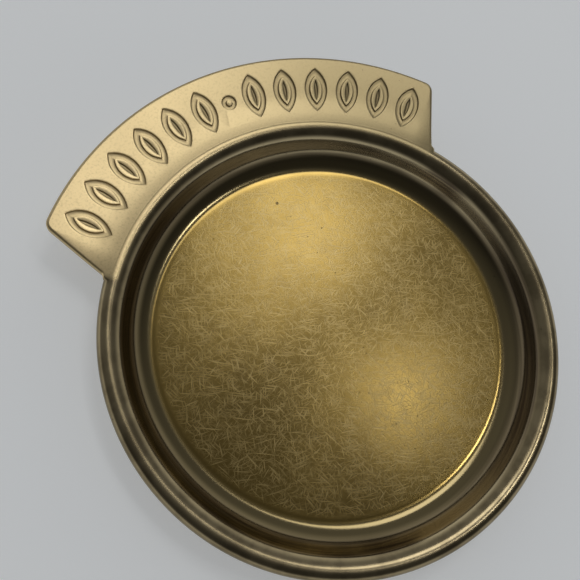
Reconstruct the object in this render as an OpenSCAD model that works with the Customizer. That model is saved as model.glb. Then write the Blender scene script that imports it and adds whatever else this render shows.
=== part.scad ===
// Round coin tray: one brass casting with a raised tab on its rim, and a felt
// disc glued under its base. The origin is the middle of the felt's lower face,
// +Z is up, and the tab's middle line points along +Y.

/* [Bowl] */
// Diameter over the rim
rim_d = 130; // [120:1:150]
// Height of the lip's highest line above the table
lip_h = 13.3; // [12:0.1:16]
// Diameter of the flat part of the floor
floor_d = 100.6; // [92:0.2:101]
// Height of the floor's upper face above the table
floor_h = 4; // [3.6:0.1:5]
// Thickness of the floor and the wall
wall_t = 3.2; // [2.4:0.1:3.4]
// Radius of the cove where the floor turns up into the wall
cove_r = 7.5; // [5:0.5:9]
// Slope of the wall, in degrees from the floor
wall_a = 62; // [55:1:70]

/* [Lip] */
// Radius of the roll from the wall onto the lip
roll_r = 1.8; // [1.2:0.1:2.2]
// Radius of the lip's gently crowned top
crown_r = 8; // [6:0.5:12]
// Radius of the rim's outer edge
edge_r = 1; // [0.7:0.1:1.2]

/* [Tab] */
// Distance of the tab's outer edge from the bowl's axis
tab_r = 83.3; // [78:0.1:88]
// Slope of the tab, rising outwards, in degrees
tab_a = 10; // [7:0.5:13]
// How far the tab's face is below the lip's highest line at the rim
tab_drop = 0.5; // [0.4:0.05:0.9]
// Thickness of the tab
tab_t = 2.6; // [2:0.1:2.8]
// Half of the tab's width where its sides meet the rim
tab_half_w = 52.3; // [46:0.1:54]
// Lean of each side away from the tab's middle line, in degrees
side_a = 27; // [22:1:30]
// Radius of the tab's two outer corners
corner_r = 3; // [2:0.5:4]

/* [Leaf border] */
// Leaves in each of the two groups
leaves = 6; // [4:1:6]
// Angle from the middle line to the first leaf, in degrees
first_a = 6.2; // [5.6:0.1:6.4]
// Angle between neighbouring leaves, in degrees
pitch_a = 7.5; // [7.2:0.1:7.6]
// Distance of the border's middle from the bowl's axis
border_r = 73.2; // [72.8:0.1:73.6]
// Length of a leaf
leaf_l = 13; // [11:0.2:13.4]
// Width of a leaf
leaf_w = 6.6; // [6:0.1:7]
// Width of the groove that draws a leaf
groove_w = 1.4; // [1.1:0.1:1.6]
// Depth of the border below the tab's face
sunk = 0.45; // [0.3:0.05:0.6]

/* [Base] */
// Diameter of the felt disc
felt_d = 88; // [80:1:90]
// Thickness of the felt disc
felt_t = 1.5; // [1.2:0.1:2]
// How far the felt stands below the brass
felt_proud = 0.8; // [0.6:0.1:1]
// Gap between the felt's edge and its seat
felt_gap = 0.3; // [0.2:0.1:0.6]

/* [Hidden] */
$fn = 180;
rim_r = rim_d / 2;
floor_r = floor_d / 2;
under_z = floor_h - wall_t;
cove = [floor_r, floor_h + cove_r];
down_out = [sin(wall_a), -cos(wall_a)];
cove_in = cove + cove_r * down_out;
cove_out = cove + (cove_r + wall_t) * down_out;
roll_z = lip_h - roll_r;
wall_top_z = roll_z + roll_r * cos(wall_a);
wall_top = [cove_in[0] + (wall_top_z - cove_in[1]) / tan(wall_a), wall_top_z];
roll = wall_top + roll_r * down_out;
crown = [roll[0], lip_h - crown_r];
edge_dr = rim_r - edge_r - crown[0];
edge = [rim_r - edge_r, crown[1] + sqrt(pow(crown_r - edge_r, 2) - pow(edge_dr, 2))];
lip_under_z = edge[1] - edge_r;
lip_under_r = cove_out[0] + (lip_under_z - cove_out[1]) / tan(wall_a);
rim_z = lip_h - tab_drop;
root_y = sqrt(pow(rim_r, 2) - pow(tab_half_w, 2));
tab_root_r = lip_under_r - 1.2;
plate_h = tab_t / cos(tab_a);
tip_r = 0.8;
recess_h = felt_t - felt_proud;
far = 2 * rim_r;

function flip_x(p) = [-p[0], p[1]];
function tab_z(r) = rim_z + (r - rim_r) * tan(tab_a);

// Section of the bowl's hollow, from the axis to the wall
module hollow_section() {
    translate(cove) circle(cove_r);
    polygon([[0, floor_h], [floor_r, floor_h], cove_in, wall_top,
             [wall_top[0], 2 * lip_h], [0, 2 * lip_h]]);
}

// Section of the shell's outside, below the lip
module shell_section() {
    intersection() {
        translate(cove) circle(cove_r + wall_t);
        polygon([cove, cove + [0, -far], cove + [far * down_out[0], -far], cove + far * down_out]);
    }
    polygon([[0, under_z], [floor_r, under_z], cove_out, [lip_under_r, lip_under_z],
             [edge[0], lip_under_z], edge, roll, wall_top, [0, wall_top_z]]);
}

// Section of the lip: the inner roll, the crowned top and the rounded edge
module lip_section() {
    translate(roll) circle(roll_r);
    intersection() {
        translate(crown) circle(crown_r);
        polygon([[crown[0], lip_under_z], [edge[0], lip_under_z], edge,
                 edge + 3 * (edge - crown) / norm(edge - crown), [crown[0], 2 * lip_h]]);
    }
    translate(edge) circle(edge_r);
}

module bowl() {
    rotate_extrude() {
        difference() {
            shell_section();
            hollow_section();
        }
        lip_section();
    }
}

// Plan of the tab: a fan between its two sides, with round outer corners
module tab_plan() {
    side = [sin(side_a), cos(side_a)];
    outward = [cos(side_a), -sin(side_a)];
    root = [tab_half_w, root_y];
    foot = root - 12 * side;
    tip = root + far * side;
    set_in = corner_r - 0.03;
    start = root - set_in * outward;
    along = -(start * side) + sqrt(pow(start * side, 2) - start * start + pow(tab_r - set_in, 2));
    corner = start + along * side;
    reach = 3 * corner_r;
    a = corner + reach * outward;
    b = corner + reach * corner / norm(corner);
    difference() {
        intersection() {
            circle(tab_r);
            polygon([foot, tip, flip_x(tip), flip_x(foot)]);
        }
        for (m = [0, 1])
            mirror([m, 0]) difference() {
                polygon([corner, a, a + b - corner, b]);
                translate(corner) circle(corner_r);
            }
    }
}

// The tab as a ring of sloping plate with a rounded rim, cut to its plan
module tab() {
    intersection() {
        rotate_extrude() {
            end_r = tab_r - tip_r;
            polygon([[tab_root_r, tab_z(tab_root_r) - plate_h], [end_r, tab_z(end_r) - plate_h],
                     [tab_r, tab_z(tab_r) - plate_h + tip_r], [tab_r, tab_z(tab_r) - tip_r],
                     [end_r, tab_z(end_r)], [tab_root_r, tab_z(tab_root_r)]]);
        }
        linear_extrude(3 * lip_h) tab_plan();
    }
}

// A pointed oval of length l and width w, the overlap of two circles
module pointed_oval(l, w) {
    r = (pow(l, 2) + pow(w, 2)) / (4 * w);
    intersection() {
        translate([r - w / 2, 0]) circle(r);
        translate([w / 2 - r, 0]) circle(r);
    }
}

// One leaf: a groove round its outline and a short groove for its rib
module leaf() {
    difference() {
        pointed_oval(leaf_l, leaf_w);
        pointed_oval(leaf_l - 3.2 * groove_w, leaf_w - 2 * groove_w);
    }
    pointed_oval(leaf_l - 5.2 * groove_w, leaf_w - 4 * groove_w);
}

// The border's plan: two groups of leaves and a small disc between them
module border_plan() {
    for (m = [1, -1], k = [0 : leaves - 1])
        rotate(m * (first_a + k * pitch_a)) translate([0, border_r]) leaf();
    translate([0, border_r]) difference() {
        circle(groove_w * 1.5);
        circle(groove_w * 0.6);
    }
}

// What is cut from the tab for the border: the plan, one depth below the face
module border_cut() {
    r0 = border_r - leaf_l;
    r1 = border_r + leaf_l;
    intersection() {
        rotate_extrude()
            polygon([[r0, tab_z(r0) - sunk], [r1, tab_z(r1) - sunk],
                     [r1, tab_z(r1) + 1], [r0, tab_z(r0) + 1]]);
        linear_extrude(3 * lip_h) border_plan();
    }
}

module dish() {
    color([0.66, 0.55, 0.31]) difference() {
        union() {
            bowl();
            tab();
        }
        border_cut();
        translate([0, 0, under_z - 1]) cylinder(h = recess_h + 1, d = felt_d + 2 * felt_gap);
    }
}

module felt_pad() {
    color([0.12, 0.17, 0.12])
        translate([0, 0, under_z - felt_proud]) cylinder(h = felt_t, d = felt_d);
}

dish();
felt_pad();
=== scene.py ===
import math

import bmesh
import bpy
from mathutils import Matrix, Vector


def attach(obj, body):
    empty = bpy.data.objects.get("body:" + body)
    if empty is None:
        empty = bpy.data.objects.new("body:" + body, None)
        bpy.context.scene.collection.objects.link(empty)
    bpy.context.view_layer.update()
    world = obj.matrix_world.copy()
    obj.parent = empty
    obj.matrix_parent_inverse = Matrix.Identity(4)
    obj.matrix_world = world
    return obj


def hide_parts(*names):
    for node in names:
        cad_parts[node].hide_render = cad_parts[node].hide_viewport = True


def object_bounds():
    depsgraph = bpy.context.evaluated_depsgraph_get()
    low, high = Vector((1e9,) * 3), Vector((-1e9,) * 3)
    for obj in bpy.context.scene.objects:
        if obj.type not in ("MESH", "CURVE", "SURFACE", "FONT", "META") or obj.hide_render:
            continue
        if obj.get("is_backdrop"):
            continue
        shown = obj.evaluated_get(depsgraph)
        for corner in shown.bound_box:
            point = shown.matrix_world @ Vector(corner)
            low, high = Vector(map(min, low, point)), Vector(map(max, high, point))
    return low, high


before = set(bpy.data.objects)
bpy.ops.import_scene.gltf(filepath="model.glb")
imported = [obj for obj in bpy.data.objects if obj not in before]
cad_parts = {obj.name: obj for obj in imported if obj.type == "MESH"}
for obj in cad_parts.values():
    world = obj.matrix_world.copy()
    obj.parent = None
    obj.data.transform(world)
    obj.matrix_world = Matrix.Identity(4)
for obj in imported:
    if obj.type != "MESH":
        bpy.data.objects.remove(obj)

for left_over in ("Cube", "Light", "Camera"):
    if left_over in bpy.data.objects:
        bpy.data.objects.remove(bpy.data.objects[left_over])
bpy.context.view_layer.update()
scene = bpy.context.scene
mm = 0.001


# The bowl of the dish
# A round well with a turned floor and wall and a rolled lip, part of one brass
# casting. Its section is drawn from the axis outwards and swept round once.
def open_piece(piece):
    """Opens one piece for editing, with nothing selected."""
    bpy.ops.object.select_all(action="DESELECT")
    bpy.context.view_layer.objects.active = piece
    piece.select_set(True)
    bpy.ops.object.mode_set(mode="EDIT")
    bpy.ops.mesh.select_mode(type="VERT")
    bpy.ops.mesh.select_all(action="DESELECT")


def close_piece():
    bpy.ops.object.mode_set(mode="OBJECT")


def name_piece(name):
    """Names the new piece and puts its place into its mesh."""
    piece = bpy.context.object
    piece.name = name
    piece.data.name = name
    bpy.ops.object.transform_apply(location=True, rotation=True, scale=True)
    return piece


def arc(centre, radius, start, end, steps):
    """Points on an arc in a section, in millimetres, from one angle to another in degrees."""
    points = []
    for k in range(steps + 1):
        angle = math.radians(start + (end - start) * k / steps)
        points.append((centre[0] + radius * math.cos(angle), centre[1] + radius * math.sin(angle)))
    return points


def turn_section(name, section, steps):
    """Draws a section point by point, as (radius, height) in millimetres, and spins it round the axis."""
    x, z = section[0]
    bpy.ops.mesh.primitive_plane_add(size=mm, location=(x * mm, 0, z * mm))
    piece = name_piece(name)
    open_piece(piece)
    bpy.ops.mesh.select_all(action="SELECT")
    bpy.ops.mesh.merge(type="CENTER")
    bpy.ops.mesh.select_all(action="SELECT")
    for before, after in zip(section, section[1:]):
        step = ((after[0] - before[0]) * mm, 0, (after[1] - before[1]) * mm)
        bpy.ops.mesh.extrude_vertices_move(TRANSFORM_OT_translate={"value": step})
    bpy.ops.mesh.select_all(action="SELECT")
    bpy.ops.mesh.spin(steps=steps, angle=2 * math.pi, center=(0, 0, 0), axis=(0, 0, 1))
    bpy.ops.mesh.select_all(action="SELECT")
    bpy.ops.mesh.remove_doubles(threshold=0.002 * mm)
    bpy.ops.mesh.normals_make_consistent(inside=False)
    close_piece()
    return piece


# Sizes in millimetres, and angles in degrees, here and in the sections that follow
metal = 3.2
wall_slope = 62
floor_radius = 50.3
floor_height = 4.0
under_height = 0.8
rim_radius = 65.0
seat_radius = 44.3
seat_height = 1.5
seat_round = 0.3
cove_radius = 7.5
cove_centre = (floor_radius, floor_height + cove_radius)
lip_top = (62.76, 13.3)
roll_radius = 5.0
roll_centre = (lip_top[0], lip_top[1] - roll_radius)
outer_radius = rim_radius - lip_top[0]
outer_centre = (lip_top[0], lip_top[1] - outer_radius)
lip_under = 10.543
lip_under_round = 0.5
lip_under_centre = (rim_radius - lip_under_round, lip_under + lip_under_round)
seat_round_centre = (seat_radius + seat_round, under_height + seat_round)

# upper side: floor, cove, two points on the straight wall, roll and crown of the lip
section = [(radius, floor_height) for radius in (0, 8, 20, 34, 44, 48.4)]
section += arc(cove_centre, cove_radius, -90, wall_slope - 90, 20)
section += [(57.4, 8.88), (57.87, 9.76)]
section += arc(roll_centre, roll_radius, wall_slope + 90, 90, 16)
section += arc(outer_centre, outer_radius, 90, 0, 12)[1:]

# lower side: the lip's underside, two points down the outer wall, the base and the felt's seat
section += arc(lip_under_centre, lip_under_round, 0, -90, 5)
section += [(61.909, lip_under), (60.815, 8.483)]
section += arc(cove_centre, cove_radius + metal, wall_slope - 90, -90, 14)
section += [(47.5, under_height), (seat_radius + seat_round, under_height)]
section += arc(seat_round_centre, seat_round, 270, 180, 4)[1:]
section += [(radius, seat_height) for radius in (seat_radius, 30, 0)]
dish = turn_section("dish_body", section, steps=240)

# The tab of the dish
# A fan of sloping brass plate on the rim, cast in one with the bowl. The plate is
# laid out flat as a fan, its edge is rounded all round, and it is tilted last.
rim_height = 12.8
tab_slope = math.tan(math.radians(10))
tab_radius = 83.3
tab_half_width = 52.3
tab_thickness = 2.64
edge_round = 0.9
corner_radius = 3.0
root_fillet = 1.0

side_lean = math.radians(27)
side_way = Vector((math.sin(side_lean), math.cos(side_lean)))
side_out = Vector((math.cos(side_lean), -math.sin(side_lean)))
side_root = Vector((tab_half_width, math.sqrt(rim_radius**2 - tab_half_width**2)))
inner_start = side_root - corner_radius * side_out
inner_along = inner_start.dot(side_way)
corner_reach = (tab_radius - corner_radius) ** 2 - inner_start.length_squared + inner_along**2
corner_centre = inner_start + side_way * (math.sqrt(corner_reach) - inner_along)


def side_point(radius):
    """The point of the plate's flat top where its right side is this far from the axis."""
    start = side_root - edge_round * side_out
    along = -start.dot(side_way) + math.sqrt(start.dot(side_way) ** 2 - start.length_squared + radius**2)
    point = start + along * side_way
    climb = min(max(1 - along / root_fillet, 0), 1)
    return point + side_out * (root_fillet * (1 - math.sqrt(1 - climb**2)))


def corner_point(share):
    """A point on the flat top's round corner, from the side at 0 to the outer edge at 1."""
    first = -side_lean
    last = math.atan2(corner_centre.y, corner_centre.x)
    angle = first + (last - first) * share
    return corner_centre + (corner_radius - edge_round) * Vector((math.cos(angle), math.sin(angle)))


# near the rim the face leaves its straight slope and sweeps up to the lip's top
sweep_start = 63.0
sweep_length = 9.0
sweep_rise = 0.83


def face_height(radius):
    """Height of the tab's face above the table, at a distance from the axis."""
    sweep = min(max(1 - (radius - sweep_start) / sweep_length, 0), 1)
    return rim_height + (radius - rim_radius) * tab_slope + sweep_rise * sweep**2


# the leaf border lies in a block of tiles on the plate: one for each leaf, and one in the middle
border_radius = 73.2
leaf_pitch = 7.5
first_leaf = 6.2
leaf_count = 6
tile_columns = 8
tile_rows = 14
tile_half = 7.2
block_end = first_leaf + (leaf_count - 0.5) * leaf_pitch
centre_half = first_leaf - leaf_pitch / 2

# rows of the plate: distance from the axis, height above the face, and the row's right end;
# the first ones are the root, which dips under the lip's skin, as (distance, height)
root_rows = [(60.58, 11.6), (61.6, 12.3), (62.4, 13.0), (62.9, 13.26)]
rim_rows = [63.1, 63.4, 63.8, 64.2, 64.6, 65.0, 65.35, 65.7]
corner_rows = 6
rows = []
for radius, height in root_rows:
    rows.append((radius, height - face_height(radius), side_point(radius)))
for radius in rim_rows:
    rows.append((radius, 0.0, side_point(radius)))
for k in range(tile_rows + 1):
    radius = border_radius - tile_half + 2 * tile_half * k / tile_rows
    rows.append((radius, 0.0, side_point(radius)))
first_corner_row = len(rows)
for k in range(corner_rows + 1):
    point = corner_point(k / corner_rows)
    rows.append((point.length, 0.0, point))

# columns of the plate: angle from its middle line, in degrees
columns = []
for k in range(leaf_count * tile_columns):
    columns.append(-block_end + k * leaf_pitch / tile_columns)
for k in range(tile_columns):
    columns.append(-centre_half + 2 * centre_half * k / tile_columns)
for k in range(leaf_count * tile_columns + 1):
    columns.append(centre_half + k * leaf_pitch / tile_columns)


def row_end(k):
    """The angle, from the middle line, at which a row ends."""
    return math.degrees(math.atan2(rows[k][2].x, rows[k][2].y))


def place_on_fan(angle, radius, height):
    """A point of the flat fan, in metres, from its angle in degrees and its distance from the axis."""
    a = math.radians(angle)
    return Vector((radius * math.sin(a), radius * math.cos(a), height)) * mm


def fan_sheet(name, heights):
    """A sheet of the fan's plan: one row for each distance, one column for each angle."""
    nx = len(columns) + 1
    ny = len(rows) - 1
    bpy.ops.mesh.primitive_grid_add(x_subdivisions=nx, y_subdivisions=ny, size=2)
    sheet = name_piece(name)
    full_end = row_end(first_corner_row - 1)
    for v in sheet.data.vertices:
        i = round((v.co.x + 1) / 2 * nx)
        k = round((v.co.y + 1) / 2 * ny)
        radius = rows[k][0]
        if i == 0:
            angle = -row_end(k)
        elif i == nx:
            angle = row_end(k)
        else:
            angle = columns[i - 1] * (row_end(k) / full_end if k >= first_corner_row else 1)
        v.co = place_on_fan(angle, radius, heights[k])
    return sheet


def outline_way(point):
    """The level direction that faces straight out of the fan at a point of its outline, in millimetres."""
    mirrored = Vector((abs(point.x), point.y))
    from_corner = mirrored - corner_centre
    if math.atan2(mirrored.x, mirrored.y) < math.atan2(corner_centre.x, corner_centre.y) + 1e-5:
        way = mirrored.normalized()
    elif from_corner.dot(side_way) < 1e-4:
        way = side_out.copy()
    else:
        way = from_corner.normalized()
    return Vector((math.copysign(way.x, point.x) if abs(point.x) > 1e-6 else 0, way.y))


plate = fan_sheet("tab_plate", [row[1] for row in rows])
under = fan_sheet("tab_under", [-tab_thickness for row in rows])
open_piece(under)
bpy.ops.mesh.select_all(action="SELECT")
bpy.ops.mesh.flip_normals()
close_piece()

# the round edge: the outline without the root, pulled out, then down, then back in
open_piece(plate)
work = bmesh.from_edit_mesh(plate.data)
root_limit = (root_rows[0][0] + 0.1) * mm
for edge in work.edges:
    if edge.is_boundary:
        ends = [v.co.xy.length for v in edge.verts]
        edge.select = max(ends) > root_limit
work.select_flush_mode()
bmesh.update_edit_mesh(plate.data)
bpy.ops.mesh.select_mode(type="EDGE")
round_steps = 5
ring = []
for k in range(1, round_steps + 1):
    turn = math.radians(90 * k / round_steps)
    ring.append((edge_round * math.sin(turn), -edge_round * (1 - math.cos(turn))))
for k in range(round_steps + 1):
    turn = math.radians(90 * k / round_steps)
    ring.append((edge_round * math.cos(turn), edge_round * (1 - math.sin(turn)) - tab_thickness))
out_before, down_before = 0.0, 0.0
for out, down in ring:
    bpy.ops.mesh.extrude_edges_move(TRANSFORM_OT_translate={"value": (0, 0, 0)})
    work = bmesh.from_edit_mesh(plate.data)
    for v in work.verts:
        if v.select:
            way = outline_way(v.co.xy / mm)
            v.co.x += way.x * (out - out_before) * mm
            v.co.y += way.y * (out - out_before) * mm
            if down < -tab_thickness / 2:
                v.co.z = down * mm
            else:
                v.co.z += (down - down_before) * mm
    bmesh.update_edit_mesh(plate.data)
    out_before, down_before = out, down
close_piece()

# The leaf border on the tab
# Two groups of six plain leaves and a small ring between them, pressed into the
# brass. One leaf and the ring are shaped step by step and repeated along the tab.
leaf_outside = [(7.4, 13.95, 0), (6.9, 13.35, 0)]
leaf_outer_bank = [(6.74, 13.16, 0.02), (6.64, 13.04, 0.1), (6.54, 12.92, 0.24), (6.46, 12.82, 0.36),
                   (6.36, 12.7, 0.43), (6.2, 12.5, 0.45)]
leaf_inner_bank = [(4.2, 9.05, 0.45), (4.0, 8.8, 0.43), (3.9, 8.67, 0.36), (3.82, 8.56, 0.24),
                   (3.74, 8.46, 0.1), (3.64, 8.34, 0.02)]
leaf_middle = [(3.4, 8.0, 0), (3.1, 7.6, 0), (1.3, 6.1, 0)]
leaf_rib = [(1.14, 5.9, 0.02), (1.04, 5.77, 0.1), (0.94, 5.64, 0.22), (0.84, 5.5, 0.32), (0.6, 5.1, 0.36)]
leaf_steps = leaf_outside + leaf_outer_bank + leaf_inner_bank + leaf_middle + leaf_rib

ring_outer_bank = [(5.0, 0), (4.5, 0), (4.34, 0.02), (4.24, 0.1), (4.14, 0.24), (4.06, 0.36), (3.96, 0.43),
                   (3.8, 0.45)]
ring_inner_bank = [(2.1, 0.45), (1.9, 0.43), (1.8, 0.36), (1.72, 0.24), (1.64, 0.1), (1.54, 0.02), (1.3, 0)]
ring_steps = [(width, width, depth) for width, depth in ring_outer_bank + ring_inner_bank]


def press_tile(name, steps, half_angle, middle):
    """One tile of the border, from its edge on the fan's rows and columns to what is pressed into it.

    Each step is the width and length of an outline and its depth below the face, in millimetres.
    """
    corners = []
    for i in range(tile_columns):
        corners.append((-1 + 2 * i / tile_columns, -1))
    for k in range(tile_rows):
        corners.append((1, -1 + 2 * k / tile_rows))
    for i in range(tile_columns):
        corners.append((1 - 2 * i / tile_columns, 1))
    for k in range(tile_rows):
        corners.append((-1, 1 - 2 * k / tile_rows))
    count = len(corners)
    bpy.ops.mesh.primitive_circle_add(vertices=count, radius=10 * mm, fill_type="NOTHING")
    tile = name_piece(name)
    points = tile.data.vertices
    order = sorted(range(count), key=lambda n: math.atan2(points[n].co.y, points[n].co.x))
    ways = sorted(range(count), key=lambda n: math.atan2(corners[n][1], corners[n][0]))
    for n, c in zip(order, ways):
        points[n].co = Vector((corners[c][0], corners[c][1], 0))
    open_piece(tile)
    bpy.ops.mesh.select_mode(type="EDGE")
    bpy.ops.mesh.select_all(action="SELECT")
    # until the tile is laid on the fan, a point's height holds its direction from the middle
    for number, (width, length, depth) in enumerate(steps):
        bulge = (length**2 + width**2) / (4 * width)
        bpy.ops.mesh.extrude_edges_move(TRANSFORM_OT_translate={"value": (0, 0, 0)})
        work = bmesh.from_edit_mesh(tile.data)
        for v in work.verts:
            if v.select:
                if number == 0:
                    v.co.z = math.atan2(v.co.y, v.co.x)
                turn = v.co.z
                y = length / 2 * math.sin(turn)
                x = math.sqrt(max(bulge**2 - y**2, 0)) - (bulge - width / 2)
                v.co.x, v.co.y = math.copysign(x, math.cos(turn)), y
        bmesh.update_edit_mesh(tile.data)
    bpy.ops.mesh.edge_face_add()
    close_piece()
    for v in tile.data.vertices:
        step = v.index // count
        if step == 0:
            x, y, depth = v.co.x * half_angle, v.co.y * tile_half, 0
        else:
            x, y, depth = math.degrees(v.co.x / border_radius), v.co.y, steps[step - 1][2]
        v.co = place_on_fan(middle + x, border_radius + y, -depth)
    return tile


tiles = [press_tile("border_ring", ring_steps, centre_half, 0)]
for k in range(leaf_count):
    for side in (-1, 1):
        middle = side * (first_leaf + k * leaf_pitch)
        tiles.append(press_tile("border_leaf_%d_%d" % (k, side + 1), leaf_steps, leaf_pitch / 2, middle))

# the plain faces under the border give way to the pressed ones
open_piece(plate)
bpy.ops.mesh.select_mode(type="FACE")
work = bmesh.from_edit_mesh(plate.data)
low_row = (border_radius - tile_half) * mm
high_row = (border_radius + tile_half) * mm
for face in work.faces:
    middle = face.calc_center_median()
    angle = abs(math.degrees(math.atan2(middle.x, middle.y)))
    face.select = low_row < middle.xy.length < high_row and angle < block_end and middle.z > -0.1 * mm
bmesh.update_edit_mesh(plate.data)
bpy.ops.mesh.delete(type="FACE")
close_piece()

# plate, underside and tiles are joined, the root is closed, and the flat fan takes its slope
bpy.ops.object.select_all(action="DESELECT")
for piece in [plate, under] + tiles:
    piece.select_set(True)
bpy.context.view_layer.objects.active = plate
bpy.ops.object.join()
open_piece(plate)
bpy.ops.mesh.select_all(action="SELECT")
bpy.ops.mesh.remove_doubles(threshold=0.004 * mm)
bpy.ops.mesh.select_all(action="DESELECT")
work = bmesh.from_edit_mesh(plate.data)
bpy.ops.mesh.select_mode(type="EDGE")
for edge in work.edges:
    flat = abs(edge.verts[0].co.z - edge.verts[1].co.z) < 0.01 * mm
    edge.select = edge.is_boundary and flat and max(v.co.xy.length for v in edge.verts) < root_limit
bmesh.update_edit_mesh(plate.data)
bpy.ops.mesh.bridge_edge_loops()
bpy.ops.mesh.select_all(action="DESELECT")
bpy.ops.mesh.select_non_manifold()
bpy.ops.mesh.fill_holes(sides=0)
bpy.ops.mesh.select_all(action="SELECT")
bpy.ops.mesh.normals_make_consistent(inside=False)
close_piece()
for v in plate.data.vertices:
    v.co.z += face_height(v.co.xy.length / mm) * mm
plate.data.update()

# bowl and tab become one casting
crease_angle = 38
joint = dish.modifiers.new("cast_in_one", "BOOLEAN")
joint.operation = "UNION"
joint.solver = "EXACT"
joint.object = plate
bpy.ops.object.select_all(action="DESELECT")
bpy.context.view_layer.objects.active = dish
dish.select_set(True)
bpy.ops.object.modifier_apply(modifier="cast_in_one")
bpy.data.objects.remove(plate)
bpy.ops.object.shade_smooth_by_angle(angle=math.radians(crease_angle))
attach(dish, "root")
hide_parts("dish")


# The brass of the dish
# Bare cast brass that has aged in use: a worn and scratched floor, a turned wall painted dark
# for the dark it reflects, with patches of painted sheen, a rubbed lip, a satin tab with a painted
# highlight towards its left end and painted shade lines in its border, a plain underside.
def wire(tree, kind, inputs=None, **settings):
    """Adds a node to a finish, with its settings, and fills its inputs with values or other outputs."""
    made = tree.nodes.new("ShaderNode" + kind)
    for key, value in settings.items():
        setattr(made, key, value)
    for key, value in (inputs or {}).items():
        if isinstance(value, bpy.types.NodeSocket):
            tree.links.new(value, made.inputs[key])
        else:
            made.inputs[key].default_value = value
    return made


def maths(tree, operation, a, b=0.0, c=0.0):
    return wire(tree, "Math", {0: a, 1: b, 2: c}, operation=operation).outputs[0]


def both(tree, a, b):
    """The share of a place that is in both of two parts."""
    return maths(tree, "MULTIPLY", a, b)


def vector_maths(tree, operation, a, b, c=(0, 0, 0)):
    return wire(tree, "VectorMath", {0: a, 1: b, 2: c}, operation=operation).outputs


def fade(tree, value, start, end, low=0.0, high=1.0, kind="SMOOTHSTEP"):
    """A step from low to high while the value goes from start to end."""
    span = {"Value": value, "From Min": start, "From Max": end, "To Min": low, "To Max": high}
    return wire(tree, "MapRange", span, interpolation_type=kind).outputs["Result"]


def blended(tree, share, a, b):
    """A number that goes from a to b with the share."""
    return wire(tree, "Mix", {"Factor": share, 2: a, 3: b}).outputs[0]


def mixed(tree, share, a, b):
    """A colour that goes from a to b with the share."""
    return wire(tree, "Mix", {0: share, 6: a, 7: b}, data_type="RGBA").outputs[2]


def cloud(tree, place, scale, detail=2.0, roughness=0.5):
    """A cloudy pattern, finer with a larger scale and rougher with more detail."""
    puffs = {"Vector": place, "Scale": scale, "Detail": detail, "Roughness": roughness}
    return wire(tree, "TexNoise", puffs).outputs["Fac"]


gold = (0.225, 0.153, 0.044, 1)
light_gold = (0.31, 0.211, 0.060, 1)
tarnished_gold = (0.17, 0.118, 0.044, 1)
bright_scratch = (0.78, 0.60, 0.28, 1)
cove_brown = (0.19, 0.15, 0.075, 1)
painted_dark_wall = (0.065, 0.049, 0.032, 1)
painted_dark_wall_ring = (0.125, 0.098, 0.060, 1)
painted_wall_sheen = (0.38, 0.315, 0.19, 1)
dark_lip = (0.21, 0.167, 0.095, 1)
light_lip = (0.31, 0.25, 0.145, 1)
tab_painted_bright_end = (0.84, 0.655, 0.35, 1)
tab_painted_dim_end = (0.40, 0.32, 0.17, 1)
worn_tab = (0.40, 0.31, 0.16, 1)
grain_brown = (0.28, 0.21, 0.11, 1)
groove_floor = (0.25, 0.19, 0.095, 1)
painted_groove_shade = (0.11, 0.08, 0.04, 1)
dull_outside = (0.27, 0.21, 0.11, 1)
light_outside = (0.34, 0.27, 0.14, 1)
pit_black = (0.05, 0.035, 0.02, 1)

floor_roughness = 0.24
scratch_roughness = 0.08
cove_roughness = 0.13
wall_roughness = 0.16
lip_roughness = 0.19
tab_roughness = 0.32
outside_roughness = 0.45

# where the parts of the finish meet: the distance from the axis at which the wall's line
# meets the table, the lip's heights, how far forward the tab's sides lie, as a share of the
# distance from the axis, and the distances at which the leaf border's darker floors and painted shade lines
# may start
wall_line_foot = 52.68
lip_low, lip_high = 11.2, 12.7
tab_sides = (0.575, 0.605)
border_start = (65.4, 65.9)
big_pit = (2.7, 42.8)
# the line along which the wall's painted sheen lies
sheen_line = (0.5, 0.866, 0)
scratch_ways = 14


def hair_scratches(tree, level, radius):
    """Hair lines on the floor in many directions, each one short and slightly bent."""
    bend = cloud(tree, level, 60.0, 1.0)
    aside = wire(tree, "CombineXYZ", {0: bend, 1: maths(tree, "SUBTRACT", 1.0, bend)}).outputs[0]
    bent = vector_maths(tree, "MULTIPLY_ADD", aside, (4 * mm, 4 * mm, 0), level)[0]
    scratches = None
    for k in range(scratch_ways):
        turn = math.radians(7 + 47 * k)
        turned = wire(tree, "VectorRotate", {"Vector": bent, "Angle": turn}, rotation_type="Z_AXIS")
        stretch = {"Vector": turned.outputs[0], "Location": (0.37 * k, 0.61 * k, 0),
                   "Scale": (130 + 45 * (k % 4), 3600 - 350 * (k % 5), 1)}
        drawn_out = wire(tree, "Mapping", stretch).outputs[0]
        line = fade(tree, cloud(tree, drawn_out, 1.0, 0.0), 0.66, 0.80)
        line = maths(tree, "MULTIPLY", line, (1.0, 0.5, 0.7)[k % 3])
        scratches = line if scratches is None else maths(tree, "MAXIMUM", scratches, line)
    return both(tree, scratches, fade(tree, radius, 50.5 * mm, 48.0 * mm, 0.1, 1.0))


def lathe_rings(tree, around, radius, z):
    """The lathe's fine rings on the wall and lip, drawn out round the axis."""
    drawn_out = vector_maths(tree, "MULTIPLY", around, (2.5, 2.5, 0))[0]
    fine = 1400.0
    close_set = {0: maths(tree, "MULTIPLY", radius, fine), 1: maths(tree, "MULTIPLY", z, fine), 2: 0.0}
    close_set = wire(tree, "CombineXYZ", close_set).outputs[0]
    return cloud(tree, vector_maths(tree, "ADD", drawn_out, close_set)[0], 1.0, 3.0)


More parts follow.
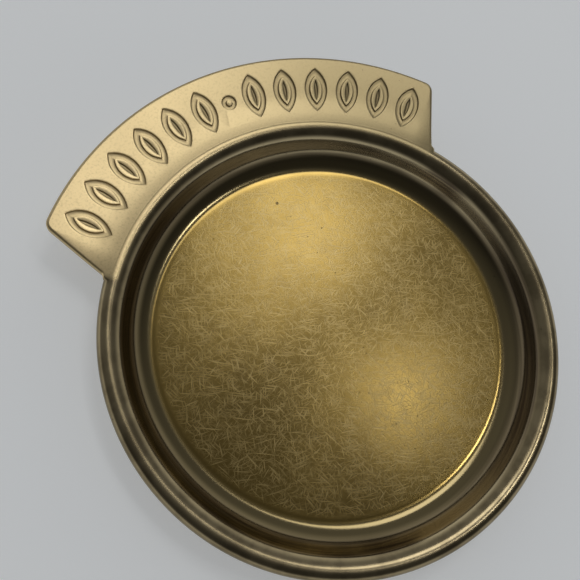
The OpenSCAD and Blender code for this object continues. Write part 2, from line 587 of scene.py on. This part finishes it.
def small_pits(tree, place, level, broad):
    """Specks in some patches of the metal, and the one larger pit near the floor's edge."""
    cells = wire(tree, "TexVoronoi", {"Vector": place, "Scale": 420.0})
    chosen = wire(tree, "SeparateXYZ", {0: cells.outputs["Color"]}).outputs[0]
    pits = both(tree, fade(tree, cells.outputs["Distance"], 0.10, 0.05), fade(tree, chosen, 0.62, 0.66))
    pits = both(tree, pits, fade(tree, broad, 0.42, 0.6))
    from_pit = vector_maths(tree, "DISTANCE", level, (big_pit[0] * mm, big_pit[1] * mm, 0))["Value"]
    return maths(tree, "MAXIMUM", pits, fade(tree, from_pit, 0.55 * mm, 0.3 * mm))


def brass_finish():
    """The casting's one finish, with a colour, a roughness and a relief for each part of it."""
    finish = bpy.data.materials.new("aged_brass")
    finish.use_nodes = True
    tree = finish.node_tree
    shader = tree.nodes["Principled BSDF"]
    place = wire(tree, "TexCoord").outputs["Object"]
    axes = wire(tree, "SeparateXYZ", {0: place})
    x, y, z = axes.outputs[0], axes.outputs[1], axes.outputs[2]
    level = wire(tree, "CombineXYZ", {0: x, 1: y, 2: 0.0}).outputs[0]
    radius = wire(tree, "VectorMath", {0: level}, operation="LENGTH").outputs["Value"]
    around = wire(tree, "VectorMath", {0: level}, operation="NORMALIZE").outputs[0]

    # where the outside, the wall, the lip and the tab lie; the rest is floor
    wall_here = maths(tree, "MULTIPLY_ADD", z, 1 / math.tan(math.radians(wall_slope)), wall_line_foot * mm)
    behind_wall = fade(tree, maths(tree, "SUBTRACT", radius, wall_here), 1.4 * mm, 2.2 * mm)
    outside = both(tree, behind_wall, fade(tree, z, 12.1 * mm, lip_low * mm))
    outside = maths(tree, "MAXIMUM", outside, fade(tree, z, 2.6 * mm, 2.2 * mm))
    below_lip = fade(tree, z, lip_high * mm, lip_low * mm)
    on_wall = both(tree, fade(tree, radius, 53.5 * mm, 57.0 * mm), below_lip)
    on_lip = fade(tree, z, lip_low * mm, lip_high * mm)
    forward = wire(tree, "SeparateXYZ", {0: around}).outputs[1]
    between_sides = fade(tree, forward, tab_sides[0], tab_sides[1])
    on_tab = both(tree, fade(tree, radius, 60.0 * mm, 62.9 * mm), between_sides)
    on_tab = maths(tree, "MAXIMUM", on_tab, fade(tree, radius, 64.98 * mm, 65.05 * mm))

    # how far a point of the tab lies below its face: the pressed grooves and their banks
    face = maths(tree, "MULTIPLY_ADD", radius, tab_slope, (rim_height - rim_radius * tab_slope) * mm)
    sweep_end = sweep_start + sweep_length
    sweep = fade(tree, radius, sweep_start * mm, sweep_end * mm, 1.0, 0.0, kind="LINEAR")
    face = maths(tree, "MULTIPLY_ADD", maths(tree, "MULTIPLY", sweep, sweep), sweep_rise * mm, face)
    sunk = maths(tree, "SUBTRACT", face, z)
    in_border = fade(tree, radius, border_start[0] * mm, border_start[1] * mm)
    pressed = both(tree, fade(tree, sunk, 0.25 * mm, 0.42 * mm), in_border)
    groove_bank_shade = both(tree, fade(tree, sunk, 0.03 * mm, 0.16 * mm), fade(tree, sunk, 0.44 * mm, 0.3 * mm))
    groove_bank_shade = both(tree, groove_bank_shade, in_border)

    scratches = hair_scratches(tree, level, radius)
    rings = lathe_rings(tree, around, radius, z)
    broad = cloud(tree, place, 28.0, 3.0)
    blotch = cloud(tree, place, 130.0, 4.0, 0.6)
    grain = cloud(tree, place, 1500.0, 3.0, 0.6)
    pits = small_pits(tree, place, level, broad)

    floor_colour = mixed(tree, fade(tree, broad, 0.35, 0.65), gold, light_gold)
    floor_colour = mixed(tree, fade(tree, blotch, 0.5, 0.75, 0.0, 0.30), floor_colour, tarnished_gold)
    floor_colour = mixed(tree, maths(tree, "MULTIPLY", scratches, 0.40), floor_colour, bright_scratch)
    floor_colour = mixed(tree, fade(tree, radius, 50.4 * mm, 52.2 * mm), floor_colour, cove_brown)

    # painted reflection: patches of olive sheen on the wall under the tab's right half, and opposite to it,
    # where the wall catches the light
    across = vector_maths(tree, "DOT_PRODUCT", around, sheen_line)["Value"]
    sheen_sides = fade(tree, maths(tree, "ABSOLUTE", across), 0.35, 0.9)
    sheen_breakup = maths(tree, "ADD", broad, maths(tree, "MULTIPLY", rings, 0.3))
    wall_sheen_share = both(tree, fade(tree, sheen_breakup, 0.46, 0.70), sheen_sides)
    wall_sheen_share = both(tree, wall_sheen_share, fade(tree, z, 6.0 * mm, 8.0 * mm))
    # painted reflection: the wall is painted dark for the dark surroundings it reflects, with lighter lathe
    # rings in it
    wall_colour = mixed(tree, fade(tree, rings, 0.35, 0.65), painted_dark_wall, painted_dark_wall_ring)
    wall_colour = mixed(tree, wall_sheen_share, wall_colour, painted_wall_sheen)
    lip_colour = mixed(tree, fade(tree, blotch, 0.38, 0.62), dark_lip, light_lip)

    # painted highlight: the tab is paler towards its left end and olive towards its right, as the light
    # falls on it
    tab_colour = mixed(tree, fade(tree, x, -50 * mm, 45 * mm), tab_painted_bright_end, tab_painted_dim_end)
    tab_colour = mixed(tree, fade(tree, broad, 0.35, 0.65, 0.0, 0.22), tab_colour, worn_tab)
    tab_colour = mixed(tree, fade(tree, grain, 0.45, 0.75, 0.0, 0.25), tab_colour, grain_brown)
    # the grooves' floors a little darker, and painted shade as dark lines on their banks
    tab_colour = mixed(tree, maths(tree, "MULTIPLY", pressed, 0.35), tab_colour, groove_floor)
    tab_colour = mixed(tree, maths(tree, "MULTIPLY", groove_bank_shade, 0.55), tab_colour, painted_groove_shade)
    outside_colour = mixed(tree, fade(tree, blotch, 0.35, 0.65), dull_outside, light_outside)

    colour = mixed(tree, on_wall, floor_colour, wall_colour)
    colour = mixed(tree, on_lip, colour, lip_colour)
    colour = mixed(tree, on_tab, colour, tab_colour)
    colour = mixed(tree, outside, colour, outside_colour)
    colour = mixed(tree, maths(tree, "MULTIPLY", pits, 0.8), colour, pit_black)

    rough = maths(tree, "MULTIPLY_ADD", scratches, scratch_roughness, floor_roughness)
    rough = blended(tree, fade(tree, radius, 49.4 * mm, 50.9 * mm), rough, cove_roughness)
    rough = blended(tree, on_wall, rough, wall_roughness)
    rough = blended(tree, on_lip, rough, lip_roughness)
    rough = blended(tree, on_tab, rough, tab_roughness)
    rough = blended(tree, outside, rough, outside_roughness)

    # relief: scratches off the wall, rings on it, grain mostly on the tab, and pits everywhere
    height = maths(tree, "MULTIPLY", scratches, maths(tree, "SUBTRACT", on_wall, 1.0))
    height = maths(tree, "MULTIPLY_ADD", rings, maths(tree, "MULTIPLY", on_wall, 0.6), height)
    height = maths(tree, "MULTIPLY_ADD", grain, maths(tree, "MAXIMUM", on_tab, 0.15), height)
    height = maths(tree, "MULTIPLY_ADD", pits, -3.0, height)
    relief = wire(tree, "Bump", {"Height": height, "Strength": 0.25, "Distance": 0.02 * mm}).outputs[0]
    tree.links.new(colour, shader.inputs["Base Color"])
    tree.links.new(rough, shader.inputs["Roughness"])
    tree.links.new(relief, shader.inputs["Normal"])
    shader.inputs["Metallic"].default_value = 1.0
    return finish


dish.data.materials.clear()
dish.data.materials.append(brass_finish())

# The felt under the dish
# A disc of dark felt glued into the shallow seat under the base, so that the tray
# doesn't mark the table. It is cut with a slightly rounded, fuzzy edge.
felt_radius = 44.0
felt_high = 1.5
felt_low_round = 0.5
felt_high_round = 0.3
low_round_centre = (felt_radius - felt_low_round, felt_low_round)
high_round_centre = (felt_radius - felt_high_round, felt_high - felt_high_round)
felt_section = [(radius, 0.0) for radius in (0, 15, 30)]
felt_section += arc(low_round_centre, felt_low_round, 270, 360, 5)
felt_section += arc(high_round_centre, felt_high_round, 0, 90, 3)
felt_section += [(20, felt_high), (0, felt_high)]
felt = turn_section("felt_disc", felt_section, steps=160)
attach(felt, "root")
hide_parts("felt_pad")

deep_green = (0.012, 0.022, 0.014, 1)
fibre_green = (0.040, 0.066, 0.042, 1)
matted_green = (0.020, 0.030, 0.020, 1)


def felt_finish():
    """Pressed wool felt: matted fibres that catch the light, in a dark green."""
    finish = bpy.data.materials.new("green_felt")
    finish.use_nodes = True
    tree = finish.node_tree
    shader = tree.nodes["Principled BSDF"]
    place = wire(tree, "TexCoord").outputs["Object"]
    fibres = cloud(tree, place, 2600.0, 4.0, 0.7)
    matted = cloud(tree, place, 420.0, 3.0, 0.6)
    colour = mixed(tree, fade(tree, fibres, 0.35, 0.68), deep_green, fibre_green)
    colour = mixed(tree, fade(tree, matted, 0.45, 0.7, 0.0, 0.4), colour, matted_green)
    height = maths(tree, "MULTIPLY_ADD", matted, 1.5, fibres)
    relief = wire(tree, "Bump", {"Height": height, "Strength": 0.6, "Distance": 0.12 * mm}).outputs[0]
    tree.links.new(colour, shader.inputs["Base Color"])
    tree.links.new(relief, shader.inputs["Normal"])
    shader.inputs["Roughness"].default_value = 0.95
    shader.inputs["Sheen Weight"].default_value = 0.3
    shader.inputs["Sheen Roughness"].default_value = 0.5
    return finish


felt.data.materials.clear()
felt.data.materials.append(felt_finish())

# The table that the tray stands on
# A wide pale top, matt and plain, and no part of the tray. It has a weak glow that
# shows to the camera and in the brass, and adds little light.
table_size = 6
table_drop = 0.01
table_glow = 0.26
table_paint = (0.78, 0.80, 0.80, 1)
cool_white = (0.96, 0.98, 1.0, 1)
bpy.ops.mesh.primitive_plane_add(size=table_size, location=(0, 0, -table_drop * mm))
table = name_piece("table")
table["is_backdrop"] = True
top = bpy.data.materials.new("pale_table")
top.use_nodes = True
tree = top.node_tree
paint = tree.nodes["Principled BSDF"]
paint.inputs["Base Color"].default_value = table_paint
paint.inputs["Emission Color"].default_value = cool_white
rays = wire(tree, "LightPath")
looked_at = maths(tree, "MAXIMUM", rays.outputs["Is Camera Ray"], rays.outputs["Is Glossy Ray"])
looked_at = maths(tree, "MAXIMUM", looked_at, rays.outputs["Is Transmission Ray"])
tree.links.new(maths(tree, "MULTIPLY", looked_at, table_glow), paint.inputs["Emission Strength"])
paint.inputs["Roughness"].default_value = 0.8
paint.inputs["Specular IOR Level"].default_value = 0.2
table.data.materials.append(top)

# Light
# A broad soft lamp and a small one, both high above the tray on its right, and a
# dim surround that brightens towards the tab's side and towards the horizon.
tray_middle = (0, 0.01, 0)


def set_down(thing, right, up, back, place):
    """Puts a lamp or the camera at a place, so that it looks away from its back."""
    thing.matrix_world = Matrix(((right.x, up.x, back.x, place[0]), (right.y, up.y, back.y, place[1]),
                                 (right.z, up.z, back.z, place[2]), (0, 0, 0, 1)))


def soft_light(name, place, width, length, power):
    """A rectangular lamp that faces the middle of the tray."""
    data = bpy.data.lights.new(name, "AREA")
    data.shape = "RECTANGLE"
    data.size, data.size_y = width, length
    data.energy = power
    lamp = bpy.data.objects.new(name, data)
    scene.collection.objects.link(lamp)
    behind = (Vector(place) - Vector(tray_middle)).normalized()
    sideways = Vector((0, 1, 0)).cross(behind).normalized()
    set_down(lamp, sideways, behind.cross(sideways), behind, place)


soft_light("key_light", (0.38, 0.34, 1.09), width=0.26, length=0.30, power=0.85)
soft_light("side_light", (0.43, -0.05, 1.10), width=0.06, length=0.10, power=0.29)

surround = bpy.data.worlds.new("pale_surround")
scene.world = surround
surround.use_nodes = True
tree = surround.node_tree
backdrop = tree.nodes["Background"]
toward = wire(tree, "TexCoord").outputs["Generated"]
tab_side = vector_maths(tree, "DOT_PRODUCT", toward, (0.25, 0.95, 0.15))["Value"]
high = wire(tree, "SeparateXYZ", {0: toward}).outputs[2]
glow = fade(tree, tab_side, -0.2, 0.9, low=0.07, high=0.32)
horizon_glow = fade(tree, high, 0.60, 0.1, low=0.0, high=0.62)
backdrop.inputs["Color"].default_value = cool_white
tree.links.new(maths(tree, "ADD", glow, horizon_glow), backdrop.inputs["Strength"])

# Camera
# It stands 0.2 m above the tray, a little to the left of its middle, and looks down
# on it at the photograph's angle.
camera_place = (-0.06162, -0.01957, 0.19419)
camera_right = Vector((0.88248, -0.43632, 0.17566)).normalized()
camera_back = Vector((-0.27762, -0.18173, 0.94334))
camera_back = (camera_back - camera_right * camera_back.dot(camera_right)).normalized()
lens = bpy.data.cameras.new("camera")
lens.sensor_width = 36
lens.lens = 43.45
lens.clip_start = 0.01
lens.clip_end = 20
camera = bpy.data.objects.new("camera", lens)
scene.collection.objects.link(camera)
scene.camera = camera
set_down(camera, camera_right, camera_back.cross(camera_right), camera_back, camera_place)
scene.view_settings.view_transform = "Standard"

low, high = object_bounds()
